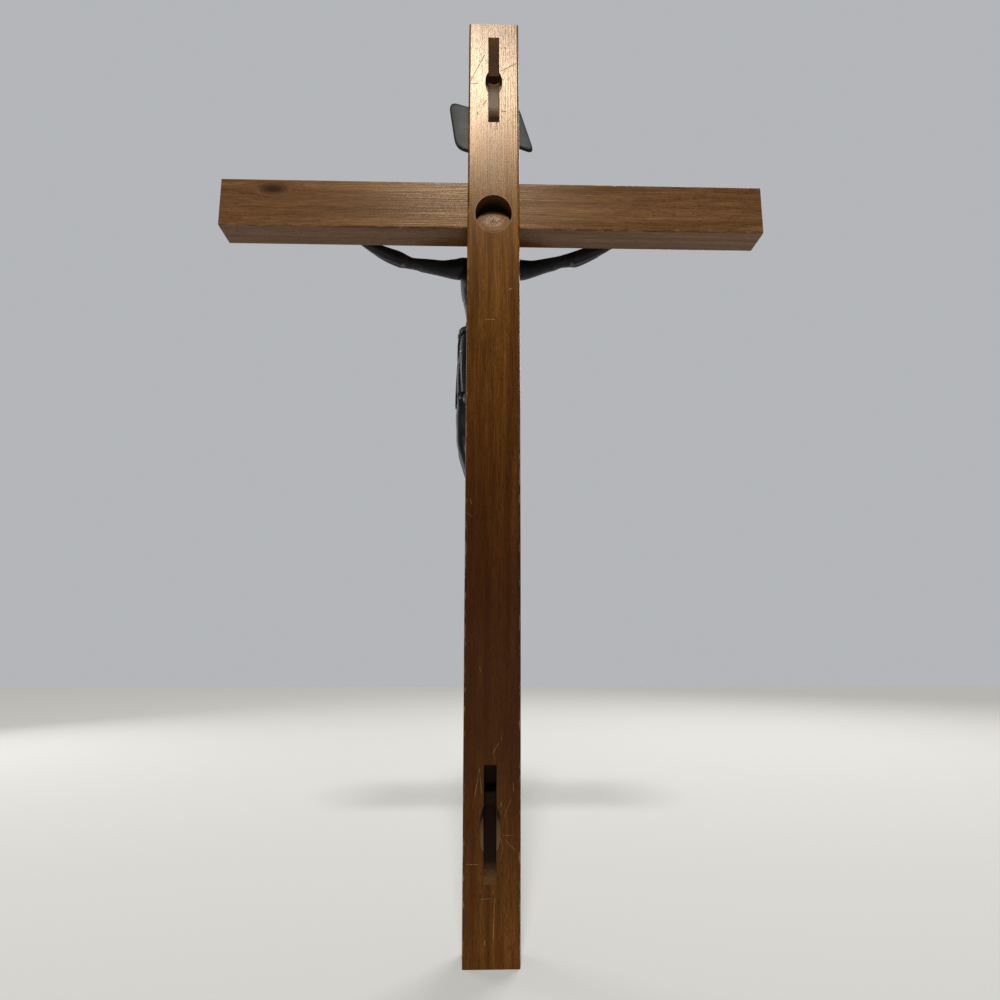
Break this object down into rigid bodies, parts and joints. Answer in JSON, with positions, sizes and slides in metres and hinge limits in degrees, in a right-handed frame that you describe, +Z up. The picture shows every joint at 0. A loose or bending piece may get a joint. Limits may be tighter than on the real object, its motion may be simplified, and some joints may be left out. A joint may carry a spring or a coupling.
{
  "type": "wall crucifix",
  "caption": "Wall crucifix: bowed walnut upright with a lapped crossbeam, a cast dark metal figure, a bare scroll plaque, and a recess and slots at the back for hanging.",
  "frame": {"origin": "middle of the hanging recess's rim, on the back of the upright just below the crossbeam's middle", "axes": "+Z up along the hung crucifix, -Y the way the figure faces, +Y to the wall, +X to the figure's left"},
  "size_m": [0.1774, 0.0292, 0.3033],
  "materials": {
    "upright_wood": "oiled walnut, satin",
    "crossbeam_wood": "oiled walnut, satin",
    "figure_metal": "dark patina on cast zinc, satin",
    "plaque_metal": "grey antiqued metal, satin",
    "nail_steel": "dark oxide, satin"
  },
  "bodies": {
    "root": {"upright": "upright_wood", "crossbeam": "crossbeam_wood", "corpus": "figure_metal", "title_plaque": "plaque_metal", "right_hand_nail": "nail_steel", "left_hand_nail": "nail_steel", "feet_nail": "nail_steel", "plaque_right_pin": "nail_steel", "plaque_left_pin": "nail_steel"}
  },
  "joints": []
}
